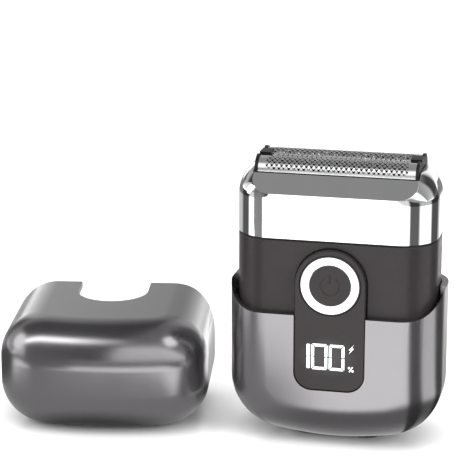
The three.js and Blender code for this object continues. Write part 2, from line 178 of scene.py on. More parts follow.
def complete(piece, edge, body, finish, node, slot, segments=2, angle=45):
    # the last steps of most pieces
    softEdges(piece, edge, segments, angle)
    return dress(evenNormals(piece), body, finishes[finish], node, slot=slot)


def edgesAlong(bm, axis, where=lambda middle: True):
    found = []
    for edge in bm.edges:
        along = (edge.verts[1].co - edge.verts[0].co).normalized()
        if abs(along.dot(axis)) > 0.999 and where((edge.verts[0].co + edge.verts[1].co) / 2):
            found.append(edge)
    return found


def roundEdges(bm, edges, radius, segments):
    bmesh.ops.bevel(bm, geom=edges, offset=radius * mm, segments=segments, profile=0.5,
                    affect="EDGES", offset_type="OFFSET", material=-1, clamp_overlap=False)


def sliceAcross(bm, positions, axis):
    for position in positions:
        everything = bm.verts[:] + bm.edges[:] + bm.faces[:]
        bmesh.ops.bisect_plane(bm, geom=everything, plane_co=axis * (position * mm), plane_no=axis, dist=1e-7)


def move(bm, by, verts=None):
    bmesh.ops.translate(bm, vec=by, verts=verts or bm.verts)


def turnAbout(bm, axis, degrees, centre=(0, 0, 0)):
    bmesh.ops.rotate(bm, cent=centre, matrix=Matrix.Rotation(rad(degrees), 3, axis), verts=bm.verts)


def newVerts(made):
    # the vertices that an extrusion has made
    return [item for item in made["geom"] if isinstance(item, bmesh.types.BMVert)]


def block(low, high):
    # a box between two corners, in millimetres
    bm = bmesh.new()
    bmesh.ops.create_cube(bm, size=1)
    low, high = Vector(low) * mm, Vector(high) * mm
    bmesh.ops.scale(bm, vec=high - low, verts=bm.verts)
    move(bm, (low + high) / 2)
    return bm


def roundedBlock(low, high, axis, radius, segments=12):
    # a box whose four edges along one axis are rounded
    bm = block(low, high)
    roundEdges(bm, edgesAlong(bm, axis), radius, segments)
    return bm


def rod(radius, start, end, segments=48):
    start, end = Vector(start) * mm, Vector(end) * mm
    bm = bmesh.new()
    bmesh.ops.create_cone(bm, cap_ends=True, cap_tris=False, segments=segments,
                          radius1=radius * mm, radius2=radius * mm, depth=(end - start).length)
    turn = axisZ.rotation_difference((end - start).normalized()).to_matrix()
    bmesh.ops.rotate(bm, cent=(0, 0, 0), matrix=turn, verts=bm.verts)
    move(bm, (start + end) / 2)
    return bm


def merged(target, *others):
    # adds the meshes of other bmeshes to the first one
    for other in others:
        mesh = bpy.data.meshes.new("part")
        other.to_mesh(mesh)
        other.free()
        target.from_mesh(mesh)
        bpy.data.meshes.remove(mesh)
    return target


# finishes: every one has its own grain in colour, gloss and relief

class Finish:
    # a principled material with short ways to add the nodes that drive it
    def __init__(self, name, **sockets):
        self.material = bpy.data.materials.new(name)
        self.material.use_nodes = True
        self.tree = self.material.node_tree
        self.shader = self.tree.nodes["Principled BSDF"]
        self.place = self.tree.nodes.new("ShaderNodeTexCoord").outputs["Object"]
        for socket, value in sockets.items():
            self.shader.inputs[socket.replace("_", " ")].default_value = value

    def node(self, kind, **settings):
        made = self.tree.nodes.new("ShaderNode" + kind)
        for name, value in settings.items():
            setattr(made, name, value)
        return made

    def link(self, output, target):
        self.tree.links.new(output, target)
        return self

    def mapping(self, location=(0, 0, 0), scale=(1, 1, 1), rotation=(0, 0, 0)):
        made = self.node("Mapping")
        made.inputs["Location"].default_value = location
        made.inputs["Scale"].default_value = scale
        made.inputs["Rotation"].default_value = rotation
        self.link(self.place, made.inputs["Vector"])
        return made.outputs["Vector"]

    def noise(self, scale, detail=3, roughness=0.5, source=None):
        made = self.node("TexNoise")
        made.inputs["Scale"].default_value = scale
        made.inputs["Detail"].default_value = detail
        made.inputs["Roughness"].default_value = roughness
        self.link(source or self.place, made.inputs["Vector"])
        return made.outputs["Fac"]

    def ramp(self, source, *stops):
        made = self.node("ValToRGB")
        stopList = made.color_ramp.elements
        while len(stopList) < len(stops):
            stopList.new(0.5)
        for element, (position, colour) in zip(stopList, stops):
            element.position = position
            element.color = (*colour, 1) if len(colour) == 3 else colour
        self.link(source, made.inputs["Fac"])
        return made.outputs["Color"]

    def rescale(self, source, low, high, toLow=0.0, toHigh=1.0):
        made = self.node("MapRange")
        for name, value in (("From Min", low), ("From Max", high), ("To Min", toLow), ("To Max", toHigh)):
            made.inputs[name].default_value = value
        self.link(source, made.inputs["Value"])
        return made.outputs["Result"]

    def between(self, source, low, high):
        # noise mostly lies between 0.3 and 0.7
        return self.rescale(source, 0.3, 0.7, low, high)

    def parts(self, source=None):
        made = self.node("SeparateXYZ")
        self.link(source or self.place, made.inputs["Vector"])
        return made.outputs

    def degrees(self, sideways, ahead):
        return self.math("MULTIPLY", self.math("ARCTAN2", sideways, ahead), 180 / math.pi)

    def math(self, operation, *values):
        made = self.node("Math", operation=operation)
        for socket, value in zip(made.inputs, values):
            if isinstance(value, (int, float)):
                socket.default_value = value
            else:
                self.link(value, socket)
        return made.outputs[0]

    def relief(self, source, strength, distance=0.0001):
        made = self.node("Bump")
        made.inputs["Strength"].default_value = strength
        made.inputs["Distance"].default_value = distance
        self.link(source, made.inputs["Height"])
        self.link(made.outputs["Normal"], self.shader.inputs["Normal"])
        return self

    def drive(self, socket, source):
        return self.link(source, self.shader.inputs[socket])


def shade(value, factor):
    return tuple(min(1, part * factor) for part in value)


def plainFinish(name, colour, roughness, metallic=0.0, grainScale=4000, spread=0.12, relief=0.15, wear=0.05,
                **extra):
    # base colour with fine grain, uneven gloss in soft patches and a little relief
    made = Finish(name, Metallic=metallic, **extra)
    grain = made.noise(grainScale, 2)
    patches = made.noise(grainScale / 25, 4)
    dark, light = shade(colour, 1 - spread), shade(colour, 1 + spread)
    made.drive("Base Color", made.ramp(grain, (0.3, dark), (0.7, light)))
    made.drive("Roughness", made.between(patches, max(0.02, roughness - wear), roughness + wear))
    made.relief(grain, relief, 0.00002)
    return made.material


paint = {
    "colour": (0.244, 0.236, 0.244), "flake": 0.16, "flakeScale": 7500,
    "roughness": 0.23, "metallic": 0.94, "coat": 0.2, "coatRoughness": 0.16,
}


def makePaint():
    made = Finish("graphitePaint", Metallic=paint["metallic"], Coat_Weight=paint["coat"],
                  Coat_Roughness=paint["coatRoughness"])
    flakes = made.noise(paint["flakeScale"], 2, 0.7)
    clouds = made.noise(120, 4)
    dark, light = shade(paint["colour"], 1 - paint["flake"]), shade(paint["colour"], 1 + paint["flake"])
    made.drive("Base Color", made.ramp(flakes, (0.32, dark), (0.68, light)))
    clouded = made.between(clouds, paint["roughness"] - 0.015, paint["roughness"] + 0.015)
    made.drive("Roughness", made.math("ADD", made.between(flakes, -0.03, 0.03), clouded))
    made.relief(flakes, 0.1, 0.00002)
    return made.material


def makeChrome():
    made = Finish("chrome", Metallic=1.0)
    smears = made.noise(90, 5, 0.6, made.mapping(scale=(1, 1, 0.35)))
    fine = made.noise(5000, 1)
    made.drive("Base Color", made.ramp(smears, (0.3, (0.86, 0.865, 0.875)), (0.7, (0.9, 0.9, 0.905))))
    made.drive("Roughness", made.between(smears, 0.035, 0.075))
    made.relief(fine, 0.02, 0.00001)
    return made.material


def makeFoilSteel():
    # drawn along the foil, so the grain runs in x
    made = Finish("foilSteel", Metallic=1.0)
    drawn = made.noise(1400, 3, 0.6, made.mapping(scale=(0.06, 1, 1)))
    made.drive("Base Color", made.ramp(drawn, (0.3, (0.66, 0.665, 0.67)), (0.7, (0.8, 0.8, 0.805))))
    made.drive("Roughness", made.between(drawn, 0.16, 0.26))
    made.relief(drawn, 0.12, 0.00001)
    return made.material


sleeve = {
    "halfLength": 0.0225, "wrap": (0.03, 0.12, 0.3), "band": (0.6, 0.62, 0.64), "end": (0.02, 0.03, 0.05),
}


def makeCellSleeve():
    # wrapped plastic sleeve with two printed bands at its ends
    made = Finish("cellSleeve", Roughness=0.32)
    wrap = made.noise(900, 3)
    across = made.math("MULTIPLY", made.math("ABSOLUTE", made.parts()["X"]), 1 / sleeve["halfLength"])
    made.drive("Base Color", made.ramp(across, (0.0, sleeve["wrap"]), (0.84, sleeve["wrap"]),
                                       (0.85, sleeve["band"]), (0.9, sleeve["end"])))
    made.relief(wrap, 0.2, 0.00003)
    return made.material


def makeBoard():
    # solder mask with copper tracks that show as slightly lighter lines
    made = Finish("circuitBoard", Roughness=0.35, Coat_Weight=0.4)
    tracks = made.node("TexBrick")
    made.link(made.mapping(scale=(320, 320, 320), rotation=(rad(90), 0, 0)), tracks.inputs["Vector"])
    tracks.inputs["Color1"].default_value = (0.008, 0.07, 0.03, 1)
    tracks.inputs["Color2"].default_value = (0.01, 0.09, 0.04, 1)
    tracks.inputs["Mortar"].default_value = (0.05, 0.2, 0.08, 1)
    tracks.inputs["Mortar Size"].default_value = 0.03
    made.drive("Base Color", tracks.outputs["Color"])
    made.relief(tracks.outputs["Fac"], 0.2, 0.00002)
    return made.material


glow = {
    "ring": 1.25, "digits": 1.05, "halo": 0.045,
    "ringInner": 0.0059, "ringSpan": 0.0024,   # the diffuser's glow by the distance from its axis
    "haloMiddle": (-0.0005, 0.027), "haloScale": (110, 160),
}


def makeRingLight():
    # a milky diffuser, a little dimmer at both of its edges
    made = Finish("lightDiffuser", Roughness=0.35)
    fromAxis = made.node("VectorMath", operation="LENGTH")
    made.link(made.mapping(location=(0, 0, -panel["buttonZ"] * mm), scale=(1, 0, 1)), fromAxis.inputs[0])
    past = made.math("SUBTRACT", fromAxis.outputs["Value"], glow["ringInner"])
    across = made.math("DIVIDE", past, glow["ringSpan"])
    made.drive("Base Color", made.ramp(across, (0.86, (0.85, 0.85, 0.86)), (0.91, (0.03, 0.03, 0.03))))
    cloud = made.noise(700, 2)
    edge = made.ramp(across, (0.0, (0.75, 0.77, 0.8)), (0.1, (1, 1, 1)), (0.8, (1, 1, 1)),
                     (0.9, (0.02, 0.02, 0.02)))
    made.drive("Emission Color", edge)
    made.drive("Roughness", made.between(cloud, 0.3, 0.42))
    made.shader.inputs["Emission Strength"].default_value = glow["ring"]
    return made.material


def makeDigitLight():
    made = Finish("displayLight", Roughness=0.3)
    made.shader.inputs["Base Color"].default_value = (0.9, 0.93, 0.95, 1)
    spots = made.noise(2500, 1)
    made.drive("Emission Color", made.ramp(spots, (0.3, (0.93, 0.97, 1)), (0.7, (1, 1, 1))))
    made.shader.inputs["Emission Strength"].default_value = glow["digits"]
    return made.material


def makePanelPlastic():
    # satin plastic with a painted glow: a soft halo of the display's light, painted on as emission round it
    made = Finish("panelPlastic", Specular_IOR_Level=plastic["specular"])
    grain = made.noise(6000, 2)
    patches = made.noise(160, 3)
    colour = plastic["colour"]
    made.drive("Base Color", made.ramp(grain, (0.3, shade(colour, 0.93)), (0.7, shade(colour, 1.07))))
    made.drive("Roughness", made.between(patches, plastic["roughness"] - 0.04, plastic["roughness"] + 0.04))
    # painted glow: emission strongest at the display's middle, fading out across the panel
    distance = made.node("VectorMath", operation="LENGTH")
    (x, z), (wide, tall) = glow["haloMiddle"], glow["haloScale"]
    halo = made.mapping(location=(-x * wide, 0, -z * tall), scale=(wide, 0, tall))
    made.link(halo, distance.inputs[0])
    made.drive("Emission Color", made.ramp(distance.outputs["Value"], (0.3, (1, 1, 1)), (0.95, (0, 0, 0))))
    made.shader.inputs["Emission Strength"].default_value = glow["halo"]
    made.relief(grain, 0.12, 0.00002)
    return made.material


panel = {
    "halfWidth": 9.8, "low": 17.3, "cornerRadius": 4.9, "buttonZ": 47.5,
    "front": -15.9, "thickness": 3.1, "gap": 0.15, "edge": 0.35,
    "cut": (-20, -8),   # how far tools reach that cut through the front wall
}
plastic = {"colour": (0.028, 0.0238, 0.0246), "roughness": 0.3, "specular": 0.2}

finishes = {
    "paint": makePaint(),
    "chrome": makeChrome(),
    "foil": makeFoilSteel(),
    "panel": makePanelPlastic(),
    "ringLight": makeRingLight(),
    "digits": makeDigitLight(),
    "darkPlastic": plainFinish("darkPlastic", plastic["colour"], plastic["roughness"], grainScale=6000,
                               spread=0.07, Specular_IOR_Level=plastic["specular"]),
    "blackPlastic": plainFinish("blackPlastic", (0.006, 0.006, 0.0065), 0.42, grainScale=5000, spread=0.2,
                                Specular_IOR_Level=0.22),
    "blade": plainFinish("bladeSteel", (0.5, 0.5, 0.51), 0.24, 1.0, grainScale=3000),
    "comb": plainFinish("combSteel", (0.78, 0.78, 0.79), 0.2, 1.0, grainScale=3500, spread=0.06),
    "can": plainFinish("motorCan", (0.42, 0.43, 0.44), 0.34, 1.0, grainScale=1500),
    "brass": plainFinish("brass", (0.55, 0.4, 0.16), 0.28, 1.0, grainScale=2500),
    "grey": plainFinish("greyPlastic", (0.25, 0.255, 0.26), 0.55, grainScale=3500),
    "rubber": plainFinish("rubber", (0.011, 0.011, 0.011), 0.78, grainScale=9000, spread=0.3, relief=0.4),
    "board": makeBoard(),
    "sleeve": makeCellSleeve(),
}
print("finishes made")


# the pebble that the lower shell and the cap are cut from

pebble = {
    "halfWidth": 30.0, "halfDepth": 16.0, "low": 0.4, "high": 86.0,
    "cornerRadius": 16.0,   # round corners in the front view
    "edgeRadius": 12.5,     # full rounding of the front and back edges
    "crownRadius": 85.0,    # wide arc of both ends
    "wall": 1.8,
    "cornerSteps": 28, "edgeSteps": 18,
    "rimEdge": 0.28,
}


def makePebble(inset):
    halfX, halfY = pebble["halfWidth"] - inset, pebble["halfDepth"] - inset
    corner, crown = pebble["cornerRadius"] - inset, pebble["crownRadius"] - inset
    cornerX, reach = pebble["halfWidth"] - pebble["cornerRadius"], crown - corner
    lean = math.asin(cornerX / reach)
    # the block stops short by this much, and the wide arcs of its ends make it up
    short = crown - corner - reach * math.cos(lean)
    low, high = pebble["low"] + short + inset, pebble["high"] - short - inset
    bm = block((-halfX, -halfY, low), (halfX, halfY, high))
    roundEdges(bm, edgesAlong(bm, axisY), corner, pebble["cornerSteps"])
    sliceAcross(bm, range(-12, 13, 3), axisX)
    bmesh.ops.dissolve_faces(bm, faces=[face for face in bm.faces if abs(face.normal.y) > 0.9])
    middle, arcX = (low + high) / 2, cornerX + corner * math.sin(lean)
    for vert in bm.verts:
        x = vert.co.x / mm
        if abs(x) < arcX:
            end = high + short - middle - (crown - math.sqrt(crown ** 2 - x ** 2))
            vert.co.z = (middle + math.copysign(end, vert.co.z / mm - middle)) * mm
    bm.normal_update()
    rims = list({edge for face in bm.faces if abs(face.normal.y) > 0.9 for edge in face.edges})
    roundEdges(bm, rims, pebble["edgeRadius"] - inset, pebble["edgeSteps"])
    return bm


parting = {"front": 38.5, "level": 44.8, "dipRadius": 8.5, "dipHalfWidth": 30.2, "gap": 0.3}


def makeAboveRim(lift):
    # everything above the line where cap and shell meet: level, with a dip at the front
    level = parting["level"] + lift
    dip = block((-parting["dipHalfWidth"], -40, parting["front"] + lift), (parting["dipHalfWidth"], 0, 100))
    roundEdges(dip, edgesAlong(dip, axisY, lambda middle: middle.z < 50 * mm), parting["dipRadius"], 24)
    return joined("aboveRim", block((-45, -30, level), (45, 30, 120)), dip)


def makeTongue(grow, y0, y1, low=None):
    # the panel's outline as a slab: round top, softly cornered foot
    half = panel["halfWidth"] + grow
    low = panel["low"] - grow if low is None else low
    bm = block((-half, y0, low), (half, y1, panel["buttonZ"] + half))
    upper = edgesAlong(bm, axisY, lambda middle: middle.z > panel["buttonZ"] * mm)
    roundEdges(bm, upper, half - 0.001, 32)
    lower = edgesAlong(bm, axisY, lambda middle: middle.z < (low + 0.01) * mm)
    roundEdges(bm, lower, panel["cornerRadius"] + grow, 14)
    bmesh.ops.remove_doubles(bm, verts=bm.verts, dist=5e-6)
    return bm


port = {
    "z": 13.0, "halfWidth": 4.47, "halfHeight": 1.63, "wall": 0.32, "inner": 8.9, "outer": 15.7, "gap": 0.35,
}
foot = {
    "halfLength": 12.85, "halfWidth": 4.85, "gap": 0.15, "high": 3.9,
    "plugInset": 1.3, "plugLow": 3.8, "plugHigh": 4.6,
    "grooves": 5, "grooveMargin": 3, "grooveX": 0.5, "grooveY": 2.6, "grooveDepth": 0.4, "grooveCorner": 0.45,
}


def makePortSlab(grow, y0, y1):
    halfX, halfZ = port["halfWidth"] + grow, port["halfHeight"] + grow
    low, high = (-halfX, y0, port["z"] - halfZ), (halfX, y1, port["z"] + halfZ)
    return roundedBlock(low, high, axisY, halfZ - 0.01, 14)


def makeFootSlab(grow, z0, z1):
    halfX, halfY = foot["halfLength"] + grow, foot["halfWidth"] + grow
    return roundedBlock((-halfX, -halfY, z0), (halfX, halfY, z1), axisZ, halfY - 0.05, 20)


def makeLowerShell():
    shell = finishMesh(makePebble(0), "lowerShell")
    carve(shell, finishMesh(makePebble(pebble["wall"]), "inside"), makeAboveRim(0))
    cutAway(shell, makeTongue(panel["gap"], *panel["cut"]), makePortSlab(port["gap"], 8, 20),
            makeFootSlab(foot["gap"], -1, 6))
    return complete(shell, pebble["rimEdge"], "body", "paint", "lower_shell", "graphite_paint")


makeLowerShell()
print("lower shell made")

cap = {"x": -72.1, "y": 24.2, "yaw": 9.4, "notchGap": 0.5}


def makeCap():
    shell = finishMesh(makePebble(0), "capShell")
    carve(shell, makeAboveRim(parting["gap"]), operation="INTERSECT")
    carve(shell, finishMesh(makePebble(pebble["wall"]), "inside"))
    cutAway(shell, makeTongue(cap["notchGap"], *panel["cut"], 20))
    softEdges(shell, pebble["rimEdge"], 2, 45)
    # it lies on its back beside the shaver, with its closed end to the front
    onBack = Matrix.Translation(Vector((0, parting["front"], 0)) * mm)
    onBack = onBack @ Matrix.Rotation(math.pi, 4, (0, 1, -1))
    place = Matrix.Translation(Vector((cap["x"], cap["y"], pebble["halfDepth"])) * mm)
    shell.data.transform(place @ Matrix.Rotation(rad(cap["yaw"]), 4, "Z") @ onBack)
    return dress(evenNormals(shell), "cap", finishes["paint"], "cap_shell", slot="graphite_paint")


makeCap()
print("cap made")


# mid housing and head share one outline

housing = {
    "halfWidth": 27.9, "halfDepth": 13.9, "cornerRadius": 10.4, "wall": 1.6, "low": 30.0, "high": 59.0,
    "bossX": 22.0, "bossY": 8.0, "bossRadius": 2.7, "bossLow": 42.0, "bossHigh": 57.0, "screwHole": 1.1,
    "edge": 0.3,
}


def housingSlab(inset, z0, z1, segments=20):
    halfX, halfY = housing["halfWidth"] - inset, housing["halfDepth"] - inset
    low, high = (-halfX, -halfY, z0), (halfX, halfY, z1)
    return roundedBlock(low, high, axisZ, housing["cornerRadius"] - inset, segments)


def makeMidHousing():
    low, high = housing["low"], housing["high"]
    tube = finishMesh(housingSlab(0, low, high), "midHousing")
    cutAway(tube, housingSlab(housing["wall"], low - 1, high + 1),
            makeTongue(panel["gap"], -20, -10, low - 10))
    inside = finishMesh(housingSlab(0.5, low, high), "inside")
    bossLow, bossHigh = housing["bossLow"], housing["bossHigh"]
    bosses, holes = [], []
    for x in (-housing["bossX"], housing["bossX"]):
        for y in (-housing["bossY"], housing["bossY"]):
            bosses.append(rod(housing["bossRadius"], (x, y, bossLow), (x, y, bossHigh), 24))
            holes.append(rod(housing["screwHole"], (x, y, bossLow + 6), (x, y, bossHigh + 1), 16))
    columns = carve(finishMesh(merged(*bosses), "columns"), inside, operation="INTERSECT")
    carve(tube, columns, operation="UNION")
    cutAway(tube, merged(*holes))
    complete(tube, housing["edge"], "body", "darkPlastic", "mid_housing", "dark_plastic")

    gasket = finishMesh(housingSlab(0.25, high + 0.05, head["low"] - 0.05), "headGasket")
    cutAway(gasket, housingSlab(housing["wall"], high - 1, head["low"] + 1))
    complete(gasket, 0.1, "body", "rubber", "head_gasket", "rubber")


# head shell: shoulders that draw in towards the top, sloping facets and a well for the cassette

head = {
    "low": 59.5, "high": 78.0, "shoulder": 8.0, "shoulderRadius": 10.0, "cornerGrowth": 3.4,
    "facetFoot": 71.9, "facetAngle": 45, "rimEdge": 0.25,
    "wellX": 22.85, "wellY": 9.2, "wellFloor": 74.0, "throatX": 20.6, "throatY": 8.25, "roof": 72.4,
}


def headForm(inset, low, high):
    bm = housingSlab(inset, low, high, 28)
    start = head["high"] - head["shoulder"]
    steps = [start + head["shoulder"] * i / 22 for i in range(23)]
    sliceAcross(bm, [z for z in steps if z < high - 0.05], axisZ)
    flatX = housing["halfWidth"] - housing["cornerRadius"]
    flatY = housing["halfDepth"] - housing["cornerRadius"]
    oldCorner, radius = housing["cornerRadius"] - inset, head["shoulderRadius"] - inset
    for vert in bm.verts:
        rise = max(0, vert.co.z / mm - start)
        narrowing = radius - math.sqrt(radius ** 2 - min(rise, radius) ** 2)
        corner = oldCorner + head["cornerGrowth"] * (rise / head["shoulder"]) ** 2
        halves = housing["halfWidth"] - inset - narrowing, housing["halfDepth"] - inset
        for i, (flat, half) in enumerate(zip((flatX, flatY), halves)):
            place = vert.co[i] / mm
            along = min(1, abs(place) / flat) * (half - corner)
            around = max(0, abs(place) - flat) / oldCorner * corner
            vert.co[i] = math.copysign(along + around, place) * mm
    return bm


def makeHead():
    bm = headForm(0, head["low"], head["high"])
    for side in (-1, 1):
        slope = Vector((0, side * math.sin(rad(head["facetAngle"])), math.cos(rad(head["facetAngle"]))))
        foot = Vector((0, side * housing["halfDepth"], head["facetFoot"])) * mm
        cut = bmesh.ops.bisect_plane(bm, geom=bm.verts[:] + bm.edges[:] + bm.faces[:], plane_co=foot,
                                     plane_no=slope, clear_outer=True, dist=1e-7)
        rim = [item for item in cut["geom_cut"] if isinstance(item, bmesh.types.BMEdge)]
        bmesh.ops.edgeloop_fill(bm, edges=rim)
    shell = finishMesh(bm, "headShell", 30)
    wellX, wellY, throatX, throatY = head["wellX"], head["wellY"], head["throatX"], head["throatY"]
    carve(shell, finishMesh(headForm(housing["wall"], head["low"] - 1, head["roof"]), "inside"))
    cutAway(shell, roundedBlock((-wellX, -wellY, head["wellFloor"]), (wellX, wellY, 90), axisZ, 0.5, 5),
            block((-throatX, -throatY, 70), (throatX, throatY, 80)))
    return complete(shell, head["rimEdge"], "body", "chrome", "head_shell", "chrome", angle=28)


makeMidHousing()
makeHead()
print("housing and head made")


# control panel, light ring, push button and what the display shows

ring = {
    "outer": 8.3, "inner": 5.95, "flange": 9.2, "bore": 0.15,
    "front": -16.0, "stem": -12.3, "step": -12.6, "back": -12,
}
button = {
    "radius": 5.75, "flange": 6.9, "front": -16.0, "edge": 0.25,
    "stem": -11.6, "step": -11.7, "back": -11, "plunger": 1.3, "plungerStep": -11.1, "plungerBack": -10.75,
    "iconRadius": 2.6, "iconLine": 0.45, "iconDepth": 0.12, "iconGap": 38, "iconBar": (0.6, 3.2),
}
display = {"halfWidth": 7.6, "front": -14.8, "low": 21.0, "high": 33.0, "gap": 0.3}


def disc(radius, y0, y1, segments=96):
    return rod(radius, (0, y0, panel["buttonZ"]), (0, y1, panel["buttonZ"]), segments)


def arcGroove(radius, line, y0, y1, opening, segments=60):
    # a ring round the button's axis that is open at its top: its square section, spun most of the way round
    bm = bmesh.new()
    centre = Vector((0, 0, panel["buttonZ"] * mm))
    corners = [Vector((x, y, 0)) * mm + centre for x, y in ((radius - line / 2, y0), (radius + line / 2, y0),
                                                          (radius + line / 2, y1), (radius - line / 2, y1))]
    face = bm.faces.new([bm.verts.new(corner) for corner in corners])
    turnAbout(bm, "Y", -90 + opening, centre)
    bmesh.ops.spin(bm, geom=[face] + face.edges[:] + face.verts[:], cent=centre, axis=axisY,
                   angle=rad(360 - 2 * opening), steps=segments, use_merge=False, use_duplicate=False)
    return bm


def makeControls():
    back = panel["front"] + panel["thickness"]
    plate = finishMesh(makeTongue(0, panel["front"], back), "controlPanel")
    gap, half = display["gap"], display["halfWidth"] + display["gap"]
    low, high = display["low"] - gap, display["high"] + gap
    pocket = block((-half, display["front"] - gap, low), (half, back + 1, high))
    cutAway(plate, disc(ring["outer"] + ring["bore"], *panel["cut"]), pocket)
    complete(plate, panel["edge"], "body", "panel", "control_panel", "dark_plastic", segments=3)

    guide = joined("lightRing", disc(ring["outer"], ring["front"], ring["stem"]),
                   disc(ring["flange"], ring["step"], ring["back"]))
    cutAway(guide, disc(ring["inner"], *panel["cut"]))
    complete(guide, 0.12, "body", "ringLight", "light_ring", "light_diffuser")

    front = button["front"]
    pushed = joined("powerButton", disc(button["radius"], front, button["stem"]),
                    disc(button["flange"], button["step"], button["back"]),
                    disc(button["plunger"], button["plungerStep"], button["plungerBack"], 24))
    depth, radius, line = button["iconDepth"], button["iconRadius"], button["iconLine"]
    circle = arcGroove(radius, line, front - 1, front + depth, button["iconGap"])
    carve(pushed, finishMesh(circle, "iconCircle"))
    barLow, barHigh = (panel["buttonZ"] + height for height in button["iconBar"])
    corners = (-line / 2, front - 1, barLow), (line / 2, front + depth, barHigh)
    cutAway(pushed, roundedBlock(*corners, axisY, line / 2 - 0.01, 6))
    complete(pushed, 0.06, "button", "darkPlastic", "power_button", "dark_plastic", segments=1, angle=50)


makeControls()

readout = {
    "front": -15.96, "back": -15.7,
    "low": 23.35, "high": 30.75, "line": 0.74, "gap": 0.3, "corner": 0.3,
    "one": (-6.25, -5.3), "zeros": ((-4.9, -0.45), (0.0, 4.3)),
    "boltX": 6.15, "boltZ": 29.75, "percentX": 6.15, "percentZ": 23.95,
    "strokeTurn": 32, "stroke": (0.14, 0.85), "dotRadius": 0.3, "dotX": 0.5, "dotZ": 0.42,
    "reach": 2.2, "tilt": 12,   # how far and at what angle the gaps cross the bars
}


def thinSlab(x, z, length, turn):
    # a narrow gap across the lit bars, turned about the axis that faces the user
    half = readout["gap"] / 2
    bm = block((-half, readout["front"] - 1, -length / 2), (half, readout["back"] + 1, length / 2))
    turnAbout(bm, "Y", turn)
    move(bm, (x * mm, 0, z * mm))
    return bm


def fromObject(piece):
    bm = bmesh.new()
    bm.from_mesh(piece.data)
    bpy.data.objects.remove(piece)
    return bm


def makeReadout():
    front, back, line = readout["front"], readout["back"], readout["line"]
    low, high = readout["low"], readout["high"]
    middle, reach, tilted = (low + high) / 2, line * readout["reach"], readout["tilt"]
    bars, inner, gaps = [], [], []
    left, right = readout["one"]
    bars.append(roundedBlock((left, front, low + 0.2), (right, back, high - 0.2), axisY, 0.3, 4))
    gaps.append(thinSlab((left + right) / 2, middle, reach, 90 - tilted))
    for left, right in readout["zeros"]:
        bars.append(roundedBlock((left, front, low), (right, back, high), axisY, readout["corner"], 4))
        inner.append(block((left + line, front - 1, low + line), (right - line, back + 1, high - line)))
        for x, tilt in ((left + line / 2, tilted), (right - line / 2, -tilted)):
            gaps.append(thinSlab(x, middle, reach, 90 + tilt))
            for z, sign in ((low + line / 2, 1), (high - line / 2, -1)):
                gaps.append(thinSlab(x, z, reach, sign * math.copysign(45, tilt)))
    lit = finishMesh(merged(*bars), "displayDigits")
    cutAway(lit, merged(*inner), *gaps)
    # the charging bolt and the percent sign
    corners = ((0.75, 1.35), (-0.65, -0.2), (0.0, -0.2), (-0.62, -1.35), (0.75, 0.3), (0.1, 0.3))
    bolt = bmesh.new()
    places = [Vector((readout["boltX"] + x, front, readout["boltZ"] + z)) * mm for x, z in corners]
    face = bolt.faces.new([bolt.verts.new(place) for place in places])
    raised = bmesh.ops.extrude_face_region(bolt, geom=[face])
    move(bolt, (0, (back - front) * mm, 0), newVerts(raised))
    bars = [bolt]
    percentX, percentZ = readout["percentX"], readout["percentZ"]
    halfX, halfZ = readout["stroke"]
    stroke = block((-halfX, front, -halfZ), (halfX, back, halfZ))
    turnAbout(stroke, "Y", readout["strokeTurn"])
    move(stroke, (percentX * mm, 0, percentZ * mm))
    bars.append(stroke)
    for side in (-1, 1):
        x, z = percentX + side * readout["dotX"], percentZ - side * readout["dotZ"]
        bars.append(rod(readout["dotRadius"], (x, front, z), (x, back, z), 16))
    signs = finishMesh(merged(*bars), "signs")
    lit = toObject(merged(fromObject(lit), fromObject(signs)), "displayDigits")
    return dress(lit, "body", finishes["digits"], slot="light_diffuser")


makeReadout()
print("controls made")


# foot, charging port

def makeFoot():
    pad = joined("baseFoot", makeFootSlab(0, 0, foot["high"]),
                 makeFootSlab(foot["plugInset"], foot["plugLow"], foot["plugHigh"]))
    span = foot["halfLength"] - foot["grooveMargin"]
    halfX, halfY, depth = foot["grooveX"], foot["grooveY"], foot["grooveDepth"]
    grooves = []
    for i in range(foot["grooves"]):
        x = -span + 2 * span * i / (foot["grooves"] - 1)
        corners = (x - halfX, -halfY, -0.5), (x + halfX, halfY, depth)
        grooves.append(roundedBlock(*corners, axisZ, foot["grooveCorner"], 4))
    cutAway(pad, merged(*grooves))
    return complete(pad, 0.15, "body", "rubber", "base_foot", "rubber")


def makePort():
    socket = finishMesh(makePortSlab(0, port["inner"], port["outer"]), "chargingSocket")
    cutAway(socket, makePortSlab(-port["wall"], port["inner"] + 0.4, port["outer"] + 1))
    complete(socket, 0.1, "body", "blade", "charging_socket", "blade_steel")


makeFoot()
makePort()
print("foot and port made")


# foil cassette

foil = {
    "radius": 3.5, "thickness": 0.2, "spacing": 10.4, "centreZ": 77.0, "skirt": 0.2, "halfLength": 21.7,
    "margin": 1.7, "pitch": 1.36, "row": 0.76, "hole": 0.31,
}
comb = {
    "halfDepth": 1.55, "wall": 0.35, "top": 79.9, "low": 76.6, "edge": 0.35,
    "pitch": 1.35, "slot": 0.6, "slotDepth": 1.1, "halfRow": 17.55,
}
endCap = {
    "inner": 21.8, "outer": 22.6, "radius": 3.9,
    "tabInner": 19.4, "tabHalf": 2.4, "tabLow": 80.2, "tabHigh": 80.85,
}
cassette = {
    "low": 74.2, "railInner": 8.35, "railOuter": 8.95, "railHigh": 76.6, "plateInner": 20.5, "plateOuter": 21.3,
}
sides = {"front": -foil["spacing"] / 2, "rear": foil["spacing"] / 2}


